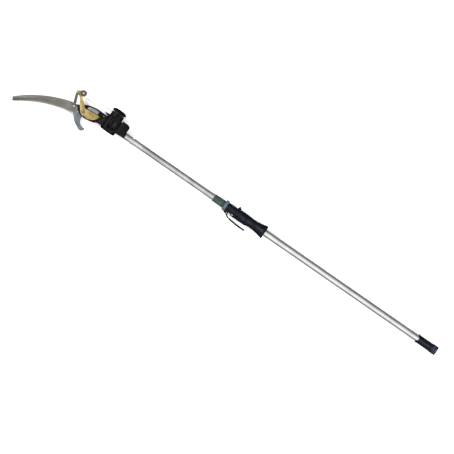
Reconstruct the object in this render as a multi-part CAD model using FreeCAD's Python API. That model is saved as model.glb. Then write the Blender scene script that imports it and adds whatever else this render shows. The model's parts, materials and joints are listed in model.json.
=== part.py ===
import FreeCAD, Part
import math
import os

# Telescoping pole saw with a rope-driven bypass cutter on a tilting head.
# All sizes are in millimetres. The pieces are drawn about the pole: X runs along the pole from the
# head to the end handle with X = 0 on the tilt axis, Y lies in the plane of the saw blade and Z is
# square to it. Everything is moved once, at the end, so that the part lies on Z = 0 and the origin is
# the bottom centre of its bounding box.

V = FreeCAD.Vector

# ---- driving dimensions -----------------------------------------------------------------------
TIP_X = -438.0            # far corner of the saw blade
END_X = 1778.0            # face of the end cap
TIP_Y = -158.0            # lowest corner of the saw blade
KNOB_TOP_Y = 83.0         # crown of the tilt knob
SCALLOP_AT, SCALLOP_R = 38.4, 5.0
AXIS_HEIGHT = 32.0        # pole axis above the resting surface

RUN_GAP = 0.06            # radial clearance of shafts and pins that turn or slide
FREE_GAP = 0.3            # clearance between pieces that move past each other

INNER_OD = 28.2
INNER_WALL = 1.3
INNER_START, INNER_END = 82.0, 1240.0
FLUTE_WIDTH, FLUTE_DEPTH = 3.0, 0.6
FLUTE_TURN = 71.0         # degrees from +Y towards +Z
OUTER_OD = 31.0
OUTER_WALL = 1.0
OUTER_START, OUTER_END = 592.0, 1745.0

ROPE_D = 3.0
ROPE_END_GAP = 0.15       # keeps two lengths of rope from overlapping where they meet at an angle
ROLLER_PITCH_R = 8.0      # radius of the rope's centre line on both guide rollers
ROLLER_RIM_R = 9.5
ROLLER_W = 5.0
ROLLER_PIN_R = 2.0
ROPE_EXIT_Y = 55.0        # height of the rope over the upper roller

DRUM_R = 37.0             # tilting joint, round the Y axis
DRUM_FLAT = 32.0          # half thickness over the drum's two flats
DRUM_BOTTOM, DRUM_TOP = -32.0, 41.0
FORK_LOW, FORK_HIGH = -14.0, 36.3
DRUM_BORE_R = 30.5
EYE_R = 30.0
WALL_ANGLE = 70.0         # half angle of the fork's closed back
EYE_ANGLE = 45.0          # half angle of the eye's outer sector
TURRET_R, TURRET_TOP = 31.0, 64.5
CLAMP_R, CLAMP_BORE_R = 12.0, 9.5
SLOT_HALF = 3.5           # half width of the rope slots
SPLIT_Z = -3.5            # joint face between the two head shells

CUTTER_Z0, CUTTER_T = 0.0, 3.0
TONGUE_TOP = -0.3
HOOK_T = 4.0
SAW_T = 1.6
SHELL_HALF = 14.0         # half thickness of the head's neck
SAW_BOLTS = ((-172.0, -22.0), (-158.0, -30.0))
SAW_BOLT_R = 3.0
SHELL_SCREWS = ((-108.0, -10.0), (-84.0, -12.0), (-48.0, 18.0))
SHELL_SCREW_R = 2.0
LOW_PIVOT_R = 4.0
POST_R = 3.0              # shafts of the spring post and the sheave
ROPE_FERRULE = V(-54.0, 37.5, 0)
PIVOT = V(-136.5, -16.5, 0)
PIVOT_R = 4.0
SHEAVE = V(-181.0, 51.7, 0)
SHEAVE_PITCH_R, SHEAVE_RIM_R = 12.3, 14.5
SHEAVE_Z0, SHEAVE_W = 3.4, 6.0
SPRING_TOP = V(-208.0, 41.0, 0)
SPRING_FOOT = V(-184.0, -20.5, 0)
SPRING_R, SPRING_WIRE = 6.6, 1.8
SPRING_Z = 10.4

TOOTH_PITCH, TOOTH_DEPTH = 4.6, 3.0

SOCKET_X0, SOCKET_X1 = 37.8, 80.0
SOCKET_LOW, SOCKET_HIGH, SOCKET_HALF = -15.5, 49.0, 19.0
SPIGOT_END = 150.0
CROSS_X, CROSS_Z, CROSS_R = 120.0, 7.0, 2.5

COLLAR_X0, COLLAR_X1, COLLAR_R = 564.0, 621.5, 17.5
FLANGE_X1, FLANGE_R = 635.0, 26.0
LOCK_X1 = 698.0
GRIP_X1, GRIP_FLARE_R = 842.0, 32.0
LEVER_PIN = V(650.0, -24.5, 0)
LEVER_PIN_R = 2.5
LEVER_HALF = 7.0
SHOE_X0, SHOE_X1 = 637.0, 646.0

HANDLE_X0, HANDLE_X1 = 1667.0, 1752.0
HANDLE_R, HANDLE_RIM_R = 19.2, 22.0
CAP_R = 23.0
HANG_R, HANG_X = 4.0, 1768.0
TAIL_R, TAIL_X1 = 17.0, 1761.0
ROPE_END_X = 1753.5

pieces = {}


# ---- small helpers ----------------------------------------------------------------------------
def rod(start, direction, radius, length):
    """A round bar from start along direction."""
    return Part.makeCylinder(radius, length, start, direction)


def along_x(x0, x1, radius, y=0.0, z=0.0):
    return rod(V(x0, y, z), V(1, 0, 0), radius, x1 - x0)


def along_y(y0, y1, radius, x=0.0, z=0.0):
    return rod(V(x, y0, z), V(0, 1, 0), radius, y1 - y0)


def along_z(z0, z1, radius, x=0.0, y=0.0):
    return rod(V(x, y, z0), V(0, 0, 1), radius, z1 - z0)


def block(x0, x1, y0, y1, z0, z1):
    return Part.makeBox(x1 - x0, y1 - y0, z1 - z0, V(x0, y0, z0))


def outline(start, *steps):
    """A closed face in the XY plane; a step is an end point, or (way point, end point) for an arc."""
    edges = []
    here = V(*start, 0)
    for step in steps:
        if isinstance(step[0], tuple):
            way, end = V(*step[0], 0), V(*step[1], 0)
            edges.append(Part.Arc(here, way, end).toShape())
        else:
            end = V(*step, 0)
            edges.append(Part.LineSegment(here, end).toShape())
        here = end
    first = V(*start, 0)
    if (here - first).Length > 1e-6:
        edges.append(Part.LineSegment(here, first).toShape())
    return Part.Face(Part.Wire(edges))


def plate(face, z0, z1):
    lifted = face.copy()
    lifted.translate(V(0, 0, z0))
    return lifted.extrude(V(0, 0, z1 - z0))


def turned_x(profile, cut_bore=None):
    """A solid turned about the pole axis from (x, radius) points."""
    x_first, x_last = profile[0][0], profile[-1][0]
    points = [V(x_first, 0, 0)] + [V(x, r, 0) for x, r in profile] + [V(x_last, 0, 0)]
    face = Part.Face(Part.makePolygon(points + [points[0]]))
    solid = face.revolve(V(0, 0, 0), V(1, 0, 0), 360)
    if cut_bore:
        solid = solid.cut(along_x(x_first - 1, x_last + 1, cut_bore))
    return solid


def turned_y(profile):
    """A solid turned about the tilt axis from (radius, y) points."""
    points = [V(0, profile[0][1], 0)] + [V(r, y, 0) for r, y in profile] + [V(0, profile[-1][1], 0)]
    face = Part.Face(Part.makePolygon(points + [points[0]]))
    return face.revolve(V(0, 0, 0), V(0, 1, 0), 360)


def sector(r_in, r_out, y0, y1, middle_deg, half_deg):
    """Part of a ring round the tilt axis, centred on middle_deg, where 0 is +X."""
    ring = along_y(y0, y1, r_out).cut(along_y(y0 - 1, y1 + 1, r_in))
    reach = 2.0 * r_out
    corners = [V(0, y0, 0)]
    for share in (-1.0, -0.5, 0.0, 0.5, 1.0):
        angle = math.radians(middle_deg + share * half_deg)
        corners.append(V(reach * math.cos(angle), y0, reach * math.sin(angle)))
    wedge = Part.Face(Part.makePolygon(corners + [corners[0]])).extrude(V(0, y1 - y0, 0))
    return ring.common(wedge)


def rope(edges):
    """A rope of round section swept along straight runs and tangent arcs."""
    path = Part.Wire(edges)
    first = edges[0]
    start = first.valueAt(first.FirstParameter)
    direction = first.tangentAt(first.FirstParameter)
    section = Part.Wire(Part.Circle(start, direction, ROPE_D / 2).toShape())
    solid = path.makePipeShell([section], True, False)
    expected = math.pi * ROPE_D ** 2 / 4 * path.Length
    print("rope run", round(path.Length, 1), "mm, volume ratio", round(solid.Volume / expected, 4))
    return solid


def line(a, b):
    return Part.LineSegment(a, b).toShape()


def arc(a, way, b):
    return Part.Arc(a, way, b).toShape()


def rope_wheel(centre, z0, width, rim_r, pitch_r, bore_r):
    """A rope wheel turned about Z, with a square groove a little wider than the rope."""
    floor_r = pitch_r - ROPE_D / 2 - 0.2
    lip = (width - ROPE_D) / 3
    wheel = along_z(z0, z0 + width, rim_r).cut(along_z(z0 - 1, z0 + width + 1, bore_r))
    groove = along_z(z0 + lip, z0 + width - lip, rim_r + 1).cut(along_z(z0 - 1, z0 + width + 1, floor_r))
    wheel = wheel.cut(groove)
    wheel.translate(V(centre.x, centre.y, 0))
    return wheel


def hex_head(centre, direction, across, height):
    """A hexagonal head or nut standing on centre."""
    radius = across / math.sqrt(3)
    points = [V(radius * math.cos(math.radians(60 * i)), radius * math.sin(math.radians(60 * i)), 0)
              for i in range(7)]
    solid = Part.Face(Part.makePolygon(points)).extrude(V(0, 0, height))
    turn = FreeCAD.Rotation(V(0, 0, 1), direction)
    solid.Placement = FreeCAD.Placement(centre, turn)
    return solid


def soften(solid, radius, pick):
    """Round the edges that pick chooses, leaving the solid as it was if the kernel can't."""
    edges = [edge for edge in solid.Edges if pick(edge)]
    try:
        rounded = solid.makeFillet(radius, edges)
        if rounded.isValid() and rounded.Volume > 0:
            return rounded
    except Part.OCCError:
        pass
    print("fillet skipped", radius)
    return solid


# ---- saw blade --------------------------------------------------------------------------------
def saw_blade():
    back_tip, back_mid, back_root = V(TIP_X, -141, 0), V(-318, -55, 0), V(-205, -9, 0)
    edge_tip, edge_mid, edge_root = V(-428, TIP_Y, 0), V(-305, -85, 0), V(-186, -49.5, 0)
    lower = Part.Arc(edge_tip, edge_mid, edge_root).toShape().Curve
    centre, radius = lower.Center, lower.Radius
    a_tip = math.atan2(edge_tip.y - centre.y, edge_tip.x - centre.x)
    a_root = math.atan2(edge_root.y - centre.y, edge_root.x - centre.x)
    count = int(radius * abs(a_tip - a_root) / TOOTH_PITCH)
    step = (a_root - a_tip) / count
    points = [edge_tip]
    for i in range(1, count):
        gullet = a_tip + step * i
        crown = gullet + step * 0.55
        for r, a in ((radius, gullet), (radius - TOOTH_DEPTH, crown)):
            points.append(V(centre.x + r * math.cos(a), centre.y + r * math.sin(a), 0))
    points.append(edge_root)
    edges = [line(p, q) for p, q in zip(points, points[1:])]
    tang = [edge_root, V(-150, -40, 0), V(-146, -30, 0), V(-150, -8, 0), back_root]
    edges += [line(p, q) for p, q in zip(tang, tang[1:])]
    edges.append(arc(back_root, back_mid, back_tip))
    edges.append(line(back_tip, edge_tip))
    solid = plate(Part.Face(Part.Wire(edges)), SPLIT_Z - SAW_T, SPLIT_Z)
    for x, y in SAW_BOLTS:
        solid = solid.cut(along_z(SPLIT_Z - SAW_T - 1, SPLIT_Z + 1, SAW_BOLT_R, x, y))
    return solid.cut(along_z(-20, 20, POST_R, SPRING_FOOT.x, SPRING_FOOT.y))


def saw_bolts():
    """Two button-head screws driven from the back through the hook plate into the saw's tang."""
    back = SPLIT_Z - SAW_T - HOOK_T
    bolts = []
    for x, y in SAW_BOLTS:
        shank = along_z(back - 0.01, SPLIT_Z - 0.2, SAW_BOLT_R, x, y)
        head = along_z(back - 3.2, back, 5.2, x, y)
        head = soften(head, 1.4, lambda e: e.BoundBox.ZMax < back - 3.0)
        head = head.cut(hex_head(V(x, y, back - 3.3), V(0, 0, 1), 3.2, 1.8))
        bolts.append(shank.fuse(head).removeSplitter())
    return Part.makeCompound(bolts)


# ---- hook jaw ---------------------------------------------------------------------------------
def hook_jaw():
    face = outline(
        (-188, -12), (-181, -30),
        ((-158, -64), (-117, -92)),
        ((-99, -94.5), (-90, -83)),
        ((-90, -78), (-95, -77)),
        ((-121, -66), (-128, -38)),
        (-124, -30), (-72, -16), (-72, 12), (-124, 12), (-150, 0), (-176, -4),
    )
    solid = plate(face, SPLIT_Z - SAW_T - HOOK_T, SPLIT_Z - SAW_T)
    solid = solid.cut(along_z(-20, 20, PIVOT_R, PIVOT.x, PIVOT.y))
    for x, y in SAW_BOLTS:
        solid = solid.cut(along_z(-20, 20, SAW_BOLT_R, x, y))
    for x, y in SHELL_SCREWS[:2]:
        solid = solid.cut(along_z(-20, 20, SHELL_SCREW_R, x, y))
    return solid.cut(along_z(-20, 20, POST_R, SPRING_FOOT.x, SPRING_FOOT.y))


# ---- head shells ------------------------------------------------------------------------------
def body_face(grow=0.0):
    return outline(
        (-176 - grow, -6), (-160, -27 - grow),
        ((-130, -39), (-98, -37.5)),
        ((-74, -32), (-57, -23)),
        (-40, -23), (-40, 29), (-60, 28),
        ((-105, 27), (-134, 19)),
        (-152, 11 + grow),
    )


def drum():
    """The tilting fork: two discs, a closed back and the roller turret, as one blank."""
    bottom = turned_y([(DRUM_R - 7, DRUM_BOTTOM), (DRUM_R - 2, DRUM_BOTTOM + 2.5),
                       (DRUM_R, DRUM_BOTTOM + 7), (DRUM_R, FORK_LOW)])
    top = along_y(FORK_HIGH, DRUM_TOP, DRUM_R)
    wall = sector(DRUM_BORE_R, DRUM_R, FORK_LOW, FORK_HIGH, 180.0, WALL_ANGLE)
    turret = turned_y([(TURRET_R, DRUM_TOP), (TURRET_R, TURRET_TOP - 2), (TURRET_R - 2, TURRET_TOP)])
    neck = block(-58, -31, -23, 28.5, -SHELL_HALF, SHELL_HALF)
    neck = soften(neck, 5.0, lambda e: e.Length > 20 and abs(e.tangentAt(e.FirstParameter).x) > 0.9)
    neck = neck.cut(along_y(-40, 45, DRUM_BORE_R + 1))
    lug = block(-48, -30, 32, 41, SPLIT_Z, 9.5)
    solid = bottom.fuse([top, wall, turret, neck, lug]).removeSplitter()
    solid = solid.common(block(-70, 60, -50, 90, -DRUM_FLAT, DRUM_FLAT))
    solid = solid.cut(along_y(FORK_HIGH - 1, TURRET_TOP + 1, CLAMP_R))
    solid = solid.cut(along_y(DRUM_BOTTOM - 1, FORK_LOW + 1, LOW_PIVOT_R + RUN_GAP))
    solid = solid.cut(along_y(DRUM_BOTTOM - 1, DRUM_BOTTOM + 6, 8.5))
    slot = block(-DRUM_R - 1, 0, FORK_HIGH - 1, ROPE_EXIT_Y + 4, -SLOT_HALF, SLOT_HALF)
    solid = solid.cut(slot.cut(block(-60, -TURRET_R + 3, 30, DRUM_TOP + 5, -20, 20)))
    solid = solid.cut(along_z(-26, 26, ROLLER_PIN_R, -ROLLER_PITCH_R, ROPE_EXIT_Y - ROLLER_PITCH_R))
    return solid




def head_shells():
    blank = drum()
    tongue = plate(body_face(), SPLIT_Z, TONGUE_TOP)
    front = blank.common(block(-70, 60, -50, 90, SPLIT_Z, 40)).fuse(tongue)
    label_face = outline((-129, 4), (-76, 7.5), (-76, 22), ((-103, 21.5), (-127, 15)))
    label = plate(label_face, TONGUE_TOP - 0.9, TONGUE_TOP)
    front = front.cut(label)
    front = front.cut(along_z(-20, 20, PIVOT_R, PIVOT.x, PIVOT.y))
    back_plate = plate(body_face(), -SHELL_HALF + 1, SPLIT_Z)
    back_plate = back_plate.common(block(-152, 0, -60, 60, -40, 40))
    back = blank.common(block(-70, 60, -50, 90, -40, SPLIT_Z)).fuse(back_plate)
    back = back.cut(plate(hook_pocket(), SPLIT_Z - HOOK_T - SAW_T, SPLIT_Z + 1))
    back = back.cut(along_z(-20, 20, PIVOT_R, PIVOT.x, PIVOT.y))
    back = back.cut(hex_head(V(PIVOT.x, PIVOT.y, -SHELL_HALF), V(0, 0, 1), 13.0, 5.0))
    for x, y in SAW_BOLTS:
        back = back.cut(along_z(-40, SPLIT_Z, 6.0, x, y))
    for x, y in SHELL_SCREWS:
        front = front.cut(along_z(-20, 20, SHELL_SCREW_R, x, y))
        back = back.cut(along_z(-20, 20, SHELL_SCREW_R, x, y))
        back = back.cut(along_z(-20, -SHELL_HALF + 4, 4.0, x, y))
    front = front.cut(along_z(-20, 20, POST_R, SPRING_FOOT.x, SPRING_FOOT.y))
    return front.removeSplitter(), back.removeSplitter(), label


def hook_pocket():
    """Pocket in the back shell for the tangs of the hook plate and the saw blade."""
    return outline((-190, -60), (-128, -60), (-128, -38), (-124, -30), (-72, -16), (-72, 12), (-124, 12),
                   (-150, 0), (-190, 0))


def shell_screws():
    screws = []
    for x, y in SHELL_SCREWS:
        top = SHELL_HALF - 0.8 if x > -58 else TONGUE_TOP - 0.2
        shank = along_z(-SHELL_HALF + 1.2, top, SHELL_SCREW_R, x, y)
        head = along_z(-SHELL_HALF + 1.2, -SHELL_HALF + 4, 3.9, x, y)
        screws.append(shank.fuse(head).removeSplitter())
    return Part.makeCompound(screws)


# ---- cutter and its pivot ---------------------------------------------------------------------
def cutter_lever():
    face = outline(
        (-61.5, 2.0),
        ((-84, -26.5), (-121, -33)),
        ((-142, -30.5), (-152, -20)),
        (-191, 31), (-214, 35.5), (-214, 46.5), (-194, 59), (-181, 62), (-171, 57), (-170.5, 44),
        (-178.5, 36), (-166.5, 25.5), (-144, 5),
        ((-138, 0.5), (-130, 0)),
        ((-98, 3.5), (-64, 6)),
    )
    solid = plate(face, CUTTER_Z0, CUTTER_Z0 + CUTTER_T)
    solid = soften(solid, 4.0, lambda e: e.Length < 3.1 and abs(e.tangentAt(e.FirstParameter).z) > 0.9
                   and (e.CenterOfMass.x < -193 or e.CenterOfMass.y > 50))
    solid = solid.cut(along_z(-5, 10, PIVOT_R + RUN_GAP, PIVOT.x, PIVOT.y))
    solid = solid.cut(along_z(-5, 10, POST_R, SHEAVE.x, SHEAVE.y))
    solid = solid.cut(along_z(-5, 10, 2.5, SPRING_TOP.x, SPRING_TOP.y))
    return solid


def pivot_bolt():
    shank = along_z(-SHELL_HALF + 1.5, CUTTER_T + 0.3, PIVOT_R, PIVOT.x, PIVOT.y)
    head = along_z(CUTTER_T + 0.3, CUTTER_T + 4.6, 7.2, PIVOT.x, PIVOT.y)
    head = soften(head, 1.8, lambda e: e.BoundBox.ZMin > CUTTER_T + 4)
    head = head.cut(hex_head(V(PIVOT.x, PIVOT.y, CUTTER_T + 2.2), V(0, 0, 1), 5.0, 3.0))
    return shank.fuse(head).removeSplitter()


def pivot_nut():
    nut = hex_head(V(PIVOT.x, PIVOT.y, -SHELL_HALF + 1.2), V(0, 0, 1), 12.9, 3.6)
    return nut.cut(along_z(-20, 0, PIVOT_R, PIVOT.x, PIVOT.y))


def stud_with_head(centre, radius, z0, z1, head_r, head_t):
    shank = along_z(z0, z1, radius, centre.x, centre.y)
    head = along_z(z1, z1 + head_t, head_r, centre.x, centre.y)
    head = soften(head, head_t * 0.4, lambda e: e.BoundBox.ZMin > z1 + head_t - 0.1)
    return shank.fuse(head).removeSplitter()


def return_spring():
    """Close-wound extension spring: its outer shape as a tube, with an eye at each end."""
    top = V(SPRING_TOP.x, SPRING_TOP.y, SPRING_Z)
    foot = V(SPRING_FOOT.x, SPRING_FOOT.y, SPRING_Z)
    reach = top - foot
    unit = V(reach.x, reach.y, reach.z).normalize()
    hook_len = 8.0
    eye_r = 4.7
    start = foot + unit * hook_len
    body_len = reach.Length - 2 * hook_len
    body = rod(start, unit, SPRING_R, body_len).cut(rod(start, unit, SPRING_R - SPRING_WIRE, body_len))
    for eye, way in ((foot, 1), (top, -1)):
        body = body.fuse(Part.makeTorus(eye_r, SPRING_WIRE / 2, eye, V(0, 0, 1)))
        bar = rod(eye + unit * (eye_r * way), unit * way, SPRING_WIRE / 2, hook_len - 3.0)
        disc = rod(eye + unit * ((hook_len - 0.01) * way), unit * way, SPRING_R - 0.4, 1.2)
        body = body.fuse([bar, disc])
    return body.removeSplitter()


# ---- rope -------------------------------------------------------------------------------------
def unit_xy(v):
    return V(v.x, v.y, 0).normalize()


def live_ends():
    """Points where the live strand leaves the upper roller and meets the lever sheave."""
    roller = V(-ROLLER_PITCH_R, ROPE_EXIT_Y - ROLLER_PITCH_R, 0)
    gap = SHEAVE - roller
    u = unit_xy(gap)
    side = V(u.y, -u.x, 0)
    lean = (ROLLER_PITCH_R - SHEAVE_PITCH_R) / gap.Length
    n = u * lean + side * math.sqrt(1 - lean ** 2)
    return roller + n * ROLLER_PITCH_R, SHEAVE + n * SHEAVE_PITCH_R


def dead_tangent(anchor):
    """Point where the dead strand leaves the underside of the lever sheave."""
    gap = anchor - SHEAVE
    flat = V(gap.x, gap.y, 0)
    lean = math.acos(SHEAVE_PITCH_R / flat.Length)
    angle = math.atan2(flat.y, flat.x) - lean
    return SHEAVE + V(math.cos(angle), math.sin(angle), 0) * SHEAVE_PITCH_R


def ropes():
    z_sheave = SHEAVE_Z0 + SHEAVE_W / 2
    lift = V(0, 0, z_sheave)
    start, meet = live_ends()
    anchor = ROPE_FERRULE
    leave = dead_tangent(anchor)
    strand = (meet + lift - start).normalize() * ROPE_END_GAP
    live = rope([line(start + strand, meet + lift - strand)])
    dead = rope([line(leave + lift, anchor + lift - V(ROPE_END_GAP, 0, 0))])
    far = SHEAVE + V(-SHEAVE_PITCH_R, 0, 0)
    wrap = rope([arc(meet + lift, far + lift, leave + lift)])
    mid = ROLLER_PITCH_R * (1 - math.sqrt(0.5))
    r = ROLLER_PITCH_R
    lower = rope([line(V(28, 0, 0), V(r, 0, 0)), arc(V(r, 0, 0), V(mid, mid, 0), V(0, r, 0)),
                  line(V(0, r, 0), V(0, 30, 0))])
    turn_y = ROPE_EXIT_Y - r
    upper = rope([line(V(0, 30, 0), V(0, turn_y, 0)),
                  arc(V(0, turn_y, 0), V(-mid, turn_y + r - mid, 0), start)])
    tubes = rope([line(V(28, 0, 0), V(ROPE_END_X, 0, 0))])
    return live, dead, wrap, lower, upper, tubes


# ---- tilt clamp -------------------------------------------------------------------------------
def clamp_tube():
    solid = turned_y([(15.0, 20.0), (15.0, 23.7), (CLAMP_R, 23.7), (CLAMP_R, 76.0)])
    solid = solid.cut(along_y(19, 79, CLAMP_BORE_R))
    solid = solid.cut(block(-20, 0, FORK_HIGH - 0.5, ROPE_EXIT_Y + 4, -SLOT_HALF, SLOT_HALF))
    return solid.cut(along_z(-26, 26, ROLLER_PIN_R, -ROLLER_PITCH_R, ROPE_EXIT_Y - ROLLER_PITCH_R))


def tilt_knob():
    base = TURRET_TOP + 1.3
    profile = [(28.0, base), (31.5, base + 1.2), (34.0, base + 3.5), (34.4, base + 5.5), (33.6, base + 8.0),
               (31.2, base + 11.0), (27.0, KNOB_TOP_Y - 2.6), (20.0, KNOB_TOP_Y - 0.9), (11.0, KNOB_TOP_Y)]
    knob = turned_y(profile)
    for i in range(12):
        angle = math.radians(15 + 30 * i)
        x, z = SCALLOP_AT * math.cos(angle), SCALLOP_AT * math.sin(angle)
        knob = knob.cut(along_y(base - 1, KNOB_TOP_Y + 1, SCALLOP_R, x, z))
    knob = knob.common(block(-40, 40, base - 1, KNOB_TOP_Y + 1, -DRUM_FLAT, DRUM_FLAT))
    return knob.cut(along_y(base - 1, base + 11, 17.0))


def knob_insert():
    base = TURRET_TOP + 1.3
    return along_y(base, base + 11, 17.0).cut(along_y(base - 1, base + 12.2, CLAMP_R + RUN_GAP))


# ---- socket -----------------------------------------------------------------------------------
def socket():
    eye = along_y(-2, FORK_HIGH - FREE_GAP, EYE_R)
    rim = sector(EYE_R - 1, DRUM_R - 0.3, -2, FORK_HIGH - FREE_GAP, 0.0, EYE_ANGLE)
    boss = along_y(FORK_LOW + FREE_GAP, -2, 20.0)
    body_profile = outline(
        (SOCKET_X0, SOCKET_LOW), (SOCKET_X1, -13.5), (SOCKET_X1, 12),
        (SOCKET_X1 - 3.5, 14), (SOCKET_X1 - 3.5, 30),
        ((SOCKET_X1 - 7, 44), (SOCKET_X1 - 20, SOCKET_HIGH - 1)), (SOCKET_X0, SOCKET_HIGH))
    body = plate(body_profile, -SOCKET_HALF, SOCKET_HALF)
    body = soften(body, 5.0, lambda e: abs(abs(e.CenterOfMass.z) - SOCKET_HALF) < 0.1
                  and abs(e.tangentAt(e.FirstParameter).z) < 0.1 and e.CenterOfMass.x > SOCKET_X0 + 1)
    bridge = block(16, 44, FORK_LOW + FREE_GAP, FORK_HIGH - FREE_GAP, -SOCKET_HALF + 1, SOCKET_HALF - 1)
    spigot = along_x(SOCKET_X1 - 6, SPIGOT_END, INNER_OD / 2 - INNER_WALL)
    solid = eye.fuse([rim, boss, body, bridge, spigot]).removeSplitter()
    solid = solid.cut(along_y(FORK_LOW, -1.5, 16.0))
    solid = solid.cut(block(-6, 21, -2, 19.5, -3.2, 3.2))
    solid = solid.cut(along_y(-2, 23.9, 15.6))
    solid = solid.cut(along_y(20, 40, CLAMP_R + RUN_GAP))
    solid = solid.cut(along_x(10, SPIGOT_END + 1, 3.2))
    solid = solid.cut(along_z(-20, 20, ROLLER_PIN_R, ROLLER_PITCH_R, ROLLER_PITCH_R))
    return solid.cut(along_y(-30, 30, CROSS_R, CROSS_X, CROSS_Z))


def pivot_plug():
    plug = along_y(FORK_LOW + FREE_GAP, -2.4, 16.0)
    return plug.cut(along_y(FORK_LOW, -2, LOW_PIVOT_R))


def lower_pivot():
    """Shouldered screw that holds the fork's lower disc on the socket."""
    shank = along_y(DRUM_BOTTOM + 5.4, -2.4, LOW_PIVOT_R)
    head = along_y(DRUM_BOTTOM + 1.4, DRUM_BOTTOM + 5.5, 7.0)
    head = head.cut(hex_head(V(0, DRUM_BOTTOM + 1.3, 0), V(0, 1, 0), 5.0, 2.4))
    return shank.fuse(head).removeSplitter()


def roller_pin(x, y, half):
    return along_z(-half, half, ROLLER_PIN_R, x, y)


# ---- tubes ------------------------------------------------------------------------------------
def inner_tube():
    radius = INNER_OD / 2
    solid = along_x(INNER_START, INNER_END, radius)
    solid = solid.cut(along_x(INNER_START - 1, INNER_END + 1, radius - INNER_WALL))
    groove = block(INNER_START - 1, INNER_END + 1, radius - FLUTE_DEPTH, radius + 2,
                   -FLUTE_WIDTH / 2, FLUTE_WIDTH / 2)
    groove.rotate(V(0, 0, 0), V(1, 0, 0), FLUTE_TURN)
    solid = solid.cut(groove)
    return solid.cut(along_y(-30, 30, CROSS_R, CROSS_X, CROSS_Z))


def cross_bolt():
    top = 12.4
    shank = along_y(-19.5, top, CROSS_R, CROSS_X, CROSS_Z)
    head = along_y(top, top + 3.6, 4.6, CROSS_X, CROSS_Z)
    head = soften(head, 1.5, lambda e: e.BoundBox.YMin > top + 3.5)
    saddle = along_x(CROSS_X - 6, CROSS_X + 6, INNER_OD / 2)
    return shank.fuse(head.cut(saddle)).removeSplitter()


def cross_nut():
    nut = hex_head(V(CROSS_X, -18.0, CROSS_Z), V(0, 1, 0), 8.0, 5.6)
    nut = nut.cut(along_x(CROSS_X - 8, CROSS_X + 8, INNER_OD / 2))
    return nut.cut(along_y(-30, 0, CROSS_R, CROSS_X, CROSS_Z))


def inner_bush():
    bore = OUTER_OD / 2 - OUTER_WALL
    ring = along_x(INNER_END, INNER_END + 20, bore - 0.08)
    plug = along_x(INNER_END - 16, INNER_END, INNER_OD / 2 - INNER_WALL)
    return ring.fuse(plug).cut(along_x(INNER_END - 20, INNER_END + 30, 4.0)).removeSplitter()


def outer_tube():
    radius = OUTER_OD / 2
    solid = along_x(OUTER_START, OUTER_END, radius)
    solid = solid.cut(along_x(OUTER_START - 1, OUTER_END + 1, radius - OUTER_WALL))
    return solid.cut(block(SHOE_X0 - 0.6, SHOE_X1 + 0.6, -20, -8, -6.0, 6.0))


def collar():
    body = turned_x([(COLLAR_X0, COLLAR_R - 1.2), (COLLAR_X0 + 1.2, COLLAR_R), (COLLAR_X1, COLLAR_R)])
    body = body.cut(along_x(COLLAR_X0 - 1, OUTER_START, INNER_OD / 2 + FREE_GAP))
    body = body.cut(along_x(OUTER_START, COLLAR_X1 + 1, OUTER_OD / 2))
    key = block(COLLAR_X0 + 2, OUTER_START - 2, INNER_OD / 2 - 0.25, INNER_OD / 2 + 1.2, -1.0, 1.0)
    key.rotate(V(0, 0, 0), V(1, 0, 0), FLUTE_TURN)
    return body.fuse(key).removeSplitter()


def flange_ring():
    ring = turned_x([(COLLAR_X1, FLANGE_R - 1.5), (COLLAR_X1 + 1.5, FLANGE_R),
                     (FLANGE_X1 - 1.5, FLANGE_R), (FLANGE_X1, FLANGE_R - 1.5)], OUTER_OD / 2)
    return ring


# ---- lock and grip ----------------------------------------------------------------------------
def lock_body():
    core = along_x(FLANGE_X1, LOCK_X1, 20.5)
    lug = block(FLANGE_X1, 657, -29.5, -10, -12.0, 12.0)
    lug = soften(lug, 4.0, lambda e: abs(e.tangentAt(e.FirstParameter).z) > 0.9 and e.CenterOfMass.y < -20)
    catch = block(667, LOCK_X1, -26, -8, -5.0, 5.0)
    fin_face = outline((681, 15), (684, 31), ((688, 33.5), (691, 31)), (LOCK_X1, 27), (LOCK_X1, 15))
    fin = plate(fin_face, -4, 4)
    solid = core.fuse([lug, catch, fin]).removeSplitter()
    solid = solid.cut(along_x(FLANGE_X1 - 1, LOCK_X1 + 1, OUTER_OD / 2))
    solid = solid.cut(block(671.5, 679.5, -21.5, -16.0, -20, 20))
    lever_room = block(FLANGE_X1 + 0.5, 665, -40, -8, -LEVER_HALF - 0.4, LEVER_HALF + 0.4)
    solid = solid.cut(lever_room)
    return solid.cut(along_z(-20, 20, LEVER_PIN_R, LEVER_PIN.x, LEVER_PIN.y))


def grip_sleeve():
    profile = [(LOCK_X1, 22.5), (LOCK_X1 + 4, 24.0), (742, 23.6), (764, 22.0), (786, 21.8), (800, 23.6),
               (816, 26.6), (GRIP_X1 - 5, GRIP_FLARE_R), (GRIP_X1 - 1.5, GRIP_FLARE_R), (GRIP_X1, 29.5)]
    body = turned_x(profile)
    belly = along_x(LOCK_X1, 746, 20.5, -6.2)
    belly = soften(belly, 5.0, lambda e: e.BoundBox.XMin > 745)
    body = body.fuse(belly).removeSplitter()
    return body.cut(along_x(LOCK_X1 - 1, GRIP_X1 + 1, OUTER_OD / 2))


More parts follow.
